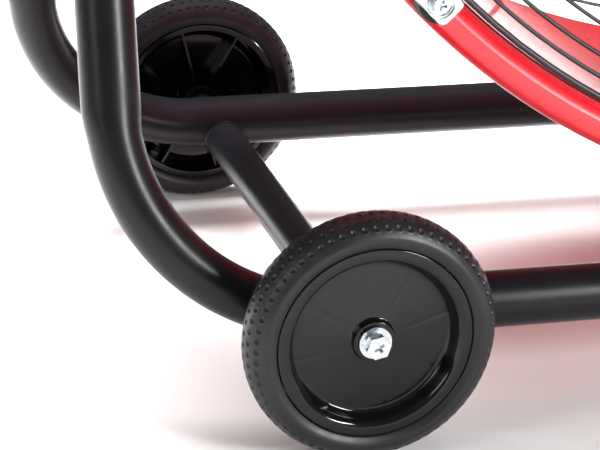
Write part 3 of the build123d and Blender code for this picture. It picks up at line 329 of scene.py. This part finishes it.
def half_route():
    """From the rail's middle to one mouth: (along X, up the slope, heading, share of flattening)."""
    turn = pi / 2 - LEAN
    stations = [(BEND_START * k / STRAIGHT_STEPS, 0.0, 0.0, 0.0) for k in range(STRAIGHT_STEPS)]
    for k in range(BEND_STEPS + 1):
        heading = turn * k / BEND_STEPS
        share = smooth_step(BEND_RADIUS * min(heading, turn - heading) / EASE)
        x, up = BEND_START + BEND_RADIUS * sin(heading), BEND_RADIUS * (1 - cos(heading))
        stations.append((x, up, heading, share))
    top = (UPRIGHT_TOP - RAIL_HEIGHT) / cos(SLOPE)
    for k in range(1, STRAIGHT_STEPS + 1):
        rise = (top - up) * k / STRAIGHT_STEPS
        stations.append((x + rise * tan(LEAN), up + rise, turn, 0.0))
    return stations


def frame_tube(node, side):
    """A U tube with its wall, swept along the route and its mirror image."""
    half = half_route()
    route = [(-x, up, -heading, share) for x, up, heading, share in reversed(half[1:])] + half
    rise = Vector((0, -side * sin(SLOPE), cos(SLOPE)))
    across = Vector((1, 0, 0)).cross(rise)
    points = []
    for radius, stations in ((TUBE_RADIUS, route), (TUBE_RADIUS - TUBE_WALL, list(reversed(route)))):
        for x, up, heading, share in stations:
            centre = Vector((x, side * RAIL_HALF_SPACING, RAIL_HEIGHT)) + rise * up
            outward = Vector((-sin(heading), 0, 0)) + rise * cos(heading)
            for k in range(TUBE_SIDES):
                turn = 2 * pi * k / TUBE_SIDES
                points.append(centre + outward * (radius * (1 - FLATTENED * share) * cos(turn))
                              + across * (radius * (1 + WIDENED * share) * sin(turn)))
    made = piece(node + "_detail", points, grid_faces(2 * len(route), TUBE_SIDES, wrap_rows=True), "frame",
                 "frame_paint")
    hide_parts(node)


frame_tube("front_frame_tube", -1)
frame_tube("rear_frame_tube", 1)

# --- weld beads where the cross tubes meet the rails -----------------------------------------
BRACE_RADIUS, BRACE_DROP = 0.01335, 0.009      # the cross tubes' centres are below the rails'
BEAD_RADIUS, BEAD_STEPS, BEAD_SIDES, BEAD_RIPPLES, RIPPLE_SHARE = 0.0012, 150, 10, 26, 0.12
BEAD_START, BEAD_GROWTH = 0.15, 6   # a bead starts thin and reaches its full radius within a few steps
SADDLE_REACH = 0.985                # how far down a rail the bead runs, in rail radii
STEEP = 0.9                         # a bead this close to the Y axis takes any square direction


def bead(name, route, body, slot):
    """A rippled weld bead along an open line of points."""
    points = []
    last = len(route) - 1
    for i, here in enumerate(route):
        along = (route[min(i + 1, last)] - route[max(i - 1, 0)]).normalized()
        steep = abs(along.y) >= STEEP
        first = (along.orthogonal() if steep else along.cross(Vector((0, 1, 0)))).normalized()
        second = along.cross(first)
        fade = min(1.0, BEAD_GROWTH * min(i, last - i) / last + BEAD_START)
        radius = BEAD_RADIUS * fade * (1 + RIPPLE_SHARE * sin(2 * pi * BEAD_RIPPLES * i / last))
        for k in range(BEAD_SIDES):
            turn = 2 * pi * k / BEAD_SIDES
            points.append(here + first * (radius * cos(turn)) + second * (radius * sin(turn)))
    faces = grid_faces(len(route), BEAD_SIDES)
    faces.append(tuple(range(BEAD_SIDES)))
    faces.append(tuple(range(last * BEAD_SIDES, (last + 1) * BEAD_SIDES)))
    piece(name, points, faces, body, slot)


for node in ("axle_cross_tube", "foot_cross_tube"):
    brace = middle(node)
    for side, end in ((-1, "front"), (1, "rear")):
        route = []
        lowest = -SADDLE_REACH * TUBE_RADIUS
        for k in range(BEAD_STEPS + 1):
            turn = -pi / 2 + 2 * pi * k / BEAD_STEPS
            drop = BRACE_RADIUS * sin(turn) - BRACE_DROP
            if drop > lowest:
                reach = RAIL_HALF_SPACING - (TUBE_RADIUS ** 2 - drop ** 2) ** 0.5
                route.append(Vector((brace.x + BRACE_RADIUS * cos(turn), side * reach, RAIL_HEIGHT + drop)))
        bead(f"weld_{node}_{end}", route, "frame", "frame_paint")

# --- drum shell: smooth flared rims, and round guard wires -----------------------------------
# The rim's section, in metres: how far in from its outer edge, and how far behind its front.
RIM_SECTION = (
    (0.0240, 0.0220), (0.0240, 0.0130), (0.0238, 0.0090), (0.0230, 0.0070), (0.0219, 0.0076),
    (0.0204, 0.0064), (0.0186, 0.0036), (0.0160, 0.0017), (0.0130, 0.00075), (0.0090, 0.0007),
    (0.0050, 0.0014), (0.0020, 0.0036), (0.0007, 0.0070), (0.0007, 0.0100),
)
SHEET, SHELL_STEPS, RIM_SMOOTHING, WALL_STEPS = 0.0014, 512, 6, 12
drum_middle = middle("drum_shell")
drum_half = size("drum_shell").y / 2
rim_radius = size("drum_shell").x / 2


def curve_through(points, steps):
    """A Catmull-Rom line through points, steps to each span."""
    made = []
    for i in range(len(points) - 1):
        before, here = points[max(i - 1, 0)], points[i]
        there, after = points[i + 1], points[min(i + 2, len(points) - 1)]
        for k in range(steps):
            t = k / steps
            made.append(tuple(
                h + ((a - b) * t + (2 * b - 5 * h + 4 * a - n) * t ** 2 + (3 * h - b - 3 * a + n) * t ** 3) / 2
                for b, h, a, n in zip(before, here, there, after)
            ))
    made.append(points[-1])
    return made


def lathe(section, steps):
    """Points and faces of a closed section of (radius, y) turned about the drum's axis."""
    points = []
    for radius, y in section:
        for k in range(steps):
            turn = 2 * pi * k / steps
            points.append((drum_middle.x + radius * cos(turn), drum_middle.y + y,
                           drum_middle.z + radius * sin(turn)))
    return points, grid_faces(len(section), steps, wrap_rows=True)


def drum_shell():
    """The rolled sheet with its two flared rims."""
    rim = curve_through(RIM_SECTION, RIM_SMOOTHING)
    front = [(rim_radius - inset, -(drum_half - behind)) for inset, behind in reversed(rim)]
    wall_from, wall_to = front[-1][1], -front[-1][1]
    wall = [(front[-1][0], wall_from + (wall_to - wall_from) * k / WALL_STEPS) for k in range(1, WALL_STEPS)]
    line = front + wall + [(r, -y) for r, y in reversed(front)]
    inner, outer = [], []
    for i, (r, y) in enumerate(line):
        r0, y0 = line[max(i - 1, 0)]
        r1, y1 = line[min(i + 1, len(line) - 1)]
        length = hypot(r1 - r0, y1 - y0)
        step = ((y1 - y0) / length * SHEET / 2, -(r1 - r0) / length * SHEET / 2)
        inner.append((r - step[0], y - step[1]))
        outer.append((r + step[0], y + step[1]))
    points, faces = lathe(outer + inner[::-1], SHELL_STEPS)
    made = piece("drum_shell_detail", points, faces, "drum", "drum_paint")
    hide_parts("drum_shell")


drum_shell()

WIRE_RADIUS, WIRE_SIDES, RING_STEPS = 0.00135, 10, 360
CLOSE_RINGS, FIRST_RING, RING_PITCH, RING_COUNT = (0.4596, 0.4483), 0.4323, 0.016, 23


def guard_rings(node):
    """The fine rings of one guard as round wires."""
    plane = middle(node).y - drum_middle.y
    points, faces = [], []
    for radius in CLOSE_RINGS + tuple(FIRST_RING - RING_PITCH * k for k in range(RING_COUNT)):
        turns = [2 * pi * k / WIRE_SIDES for k in range(WIRE_SIDES)]
        section = [(radius + WIRE_RADIUS * cos(turn), plane + WIRE_RADIUS * sin(turn)) for turn in turns]
        ring, ring_faces = lathe(section, RING_STEPS)
        faces += [tuple(len(points) + i for i in face) for face in ring_faces]
        points += ring
    made = piece(node + "_detail", points, faces, "drum", "guard_paint")
    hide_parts(node)


guard_rings("front_guard_rings")
guard_rings("rear_guard_rings")

# --- guard clips: pressed zinc plates, dished round the screw, with a hooked tongue -----------
CLIP_COUNT, CLIP_CIRCLE = 8, 0.484
CLIP_SEAT, CLIP_SHEET = 0.0110, 0.0013
CLIP_HALF_WIDTH, CLIP_HALF_LENGTH, CLIP_CORNER = 0.0099, 0.0150, 0.0043
CLIP_OFFSET = Vector((-0.0008, 0.0027))
DISH_RADIUS, DISH_EASE, DISH_HEIGHT = 0.0068, 0.0022, 0.0013
EDGE_ROUND, EDGE_DROP = 0.0016, 0.0011
HOLE_RADIUS, CLIP_RINGS, CLIP_RAYS = 0.0031, 22, 96
TONGUE_HALF, TONGUE_OFFSET, HOOK_CIRCLE, HOOK_DEPTH = 0.0045, 0.0110, 0.4656, 0.0165
HOOK_BEND, HOOK_STEPS, TONGUE_START = 0.0025, 8, -0.004
EDGE_SEARCH, EDGE_HALVINGS, RING_POWER = 0.03, 24, 0.8


def inside_edge(x, y):
    """How far a point is inside the rounded outline of a clip plate; negative outside it."""
    away_x = abs(x) - CLIP_HALF_WIDTH + CLIP_CORNER
    away_y = abs(y) - CLIP_HALF_LENGTH + CLIP_CORNER
    corner = (max(away_x, 0) ** 2 + max(away_y, 0) ** 2) ** 0.5
    return CLIP_CORNER - corner - min(max(away_x, away_y), 0)


def plate_rows(side):
    """Rings of local points over the top of a plate and back under it."""
    top, under = [], []
    for ring in range(CLIP_RINGS + 1):
        share = ring / CLIP_RINGS
        for ray in range(CLIP_RAYS):
            turn = 2 * pi * ray / CLIP_RAYS
            near, far = 0.0, EDGE_SEARCH
            for _ in range(EDGE_HALVINGS):
                reach = (near + far) / 2
                x, y = reach * cos(turn), reach * sin(turn)
                if inside_edge(x - CLIP_OFFSET.x, y - side * CLIP_OFFSET.y) > 0:
                    near = reach
                else:
                    far = reach
            radius = HOLE_RADIUS + (near - HOLE_RADIUS) * share ** RING_POWER
            x, y = radius * cos(turn), radius * sin(turn)
            depth = max(inside_edge(x - CLIP_OFFSET.x, y - side * CLIP_OFFSET.y), 0.0)
            edge = 1 - (1 - min(depth / EDGE_ROUND, 1)) ** 2
            dish = DISH_HEIGHT * smooth_step((radius - DISH_RADIUS) / DISH_EASE)
            lift = dish - EDGE_DROP * (1 - edge ** 0.5)
            top.append((x, y, CLIP_SEAT + CLIP_SHEET + lift))
            under.append((x, y, CLIP_SEAT + lift))
    rows = [under[i * CLIP_RAYS:(i + 1) * CLIP_RAYS] for i in range(CLIP_RINGS + 1)]
    return top + [point for row in reversed(rows) for point in row]


def tongue_rows(side):
    """Cross-sections of the hooked tongue, from the plate's middle over the guard ring and down."""
    reach = CLIP_CIRCLE - HOOK_CIRCLE
    level = CLIP_SEAT + CLIP_SHEET / 2
    route = [(TONGUE_START, level, 0.0)]
    for k in range(HOOK_STEPS + 1):
        turn = pi / 2 * k / HOOK_STEPS
        route.append((-reach + HOOK_BEND * (1 - sin(turn)), level - HOOK_BEND * (1 - cos(turn)), turn))
    route.append((-reach, level - HOOK_DEPTH, pi / 2))
    half = CLIP_SHEET / 2
    points = []
    for x, z, turn in route:
        corners = ((-TONGUE_HALF, -half), (TONGUE_HALF, -half), (TONGUE_HALF, half), (-TONGUE_HALF, half))
        for across, out in corners:
            points.append((x + out * -sin(turn), side * TONGUE_OFFSET + across, z + out * cos(turn)))
    return points, len(route)


def guard_clips():
    """All sixteen clips in one piece, eight round each rim."""
    points, faces = [], []
    plate_faces = grid_faces(2 * (CLIP_RINGS + 1), CLIP_RAYS, wrap_rows=True)
    for side in (-1, 1):
        plate = plate_rows(side)
        tongue, sections = tongue_rows(side)
        tongue_ends = [(0, 1, 2, 3), tuple(4 * sections - 4 + i for i in range(4))]
        tongue_faces = grid_faces(sections, 4) + tongue_ends
        for k in range(CLIP_COUNT):
            turn = 2 * pi * k / CLIP_COUNT
            way = Vector((cos(turn), 0, -sin(turn)))
            out = Vector((0, side, 0))
            across = out.cross(way)
            origin = drum_middle + way * CLIP_CIRCLE + out * drum_half
            for local, local_faces in ((plate, plate_faces), (tongue, tongue_faces)):
                first = len(points)
                points += [origin + way * x + across * y + out * z for x, y, z in local]
                faces += [tuple(first + i for i in face) for face in local_faces]
    made = piece("guard_clips_detail", points, faces, "drum", "zinc")
    made.data.set_sharp_from_angle(angle=CLIP_SHARP)
    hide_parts("guard_clips")


guard_clips()

# --- floor, light and camera ---------------------------------------------------------------
FLOOR_REACH = 6.0


def stage_floor():
    """A plain pale floor, square, centred under the fan."""
    far = FLOOR_REACH
    mesh = bpy.data.meshes.new("floor")
    mesh.from_pydata([(-far, -far, 0), (far, -far, 0), (far, far, 0), (-far, far, 0)], [], [(0, 1, 2, 3)])
    made = bpy.data.objects.new("floor", mesh)
    bpy.context.scene.collection.objects.link(made)
    mesh.materials.append(material("paper_white", (0.86, 0.86, 0.86), (0.88, 0.88, 0.88), 0.9, specular=0.0,
                                   patch=1.5, grain=400.0))


def soft_box(name, place, target, width, height, power, spread, glossy=True):
    """A rectangular studio light aimed at a target. spread is in degrees; glossy says if gloss shows it."""
    light = bpy.data.lights.new(name, "AREA")
    light.spread = radians(spread)
    light.shape = "RECTANGLE"
    light.size, light.size_y, light.energy = width, height, power
    made = bpy.data.objects.new(name, light)
    bpy.context.scene.collection.objects.link(made)
    aim = Vector(target) - Vector(place)
    made.location = place
    made.rotation_euler = aim.to_track_quat("-Z", "Y").to_euler()
    made.visible_glossy = glossy


stage_floor()
soft_box("overhead", (-0.1, 0.9, 2.4), (-0.2, 0.45, 0.0), 2.6, 1.8, 96, spread=85, glossy=False)
soft_box("strip", (1.15, -2.1, 1.05), (-0.35, 0, 0.15), 0.34, 1.0, 30, spread=110)
soft_box("left", (-2.6, -1.1, 1.2), (-0.3, 0, 0.15), 0.8, 1.2, 8, spread=120)

WORLD_STRENGTH = 0.13
world = bpy.data.worlds.new("studio")
world.use_nodes = True
world.node_tree.nodes["Background"].inputs["Color"].default_value = (1, 1, 1, 1)
world.node_tree.nodes["Background"].inputs["Strength"].default_value = WORLD_STRENGTH
bpy.context.scene.world = world
bpy.context.scene.view_settings.view_transform = "Standard"

AZIMUTH, ELEVATION, ROLL = radians(-16.6585), radians(21.7779), radians(2.5184)
CAMERA_TARGET = Vector((-0.3712, 0.0, 0.05745))
CAMERA_DISTANCE, CAMERA_LENS, SENSOR_WIDTH, CLIP_START = 1.6210, 146.21, 36.0, 0.01
camera = bpy.data.objects.new("camera", bpy.data.cameras.new("camera"))
bpy.context.scene.collection.objects.link(camera)
camera.data.lens, camera.data.sensor_width = CAMERA_LENS, SENSOR_WIDTH
camera.data.clip_start = CLIP_START
back = Vector((sin(AZIMUTH) * cos(ELEVATION), -cos(AZIMUTH) * cos(ELEVATION), sin(ELEVATION)))
level = (-back).cross(Vector((0, 0, 1))).normalized()
above = level.cross(-back)
side_way = level * cos(ROLL) + above * sin(ROLL)
up_way = above * cos(ROLL) - level * sin(ROLL)
turned = Matrix((side_way, up_way, back)).transposed().to_4x4()
camera.matrix_world = Matrix.Translation(CAMERA_TARGET + back * CAMERA_DISTANCE) @ turned
bpy.context.scene.camera = camera
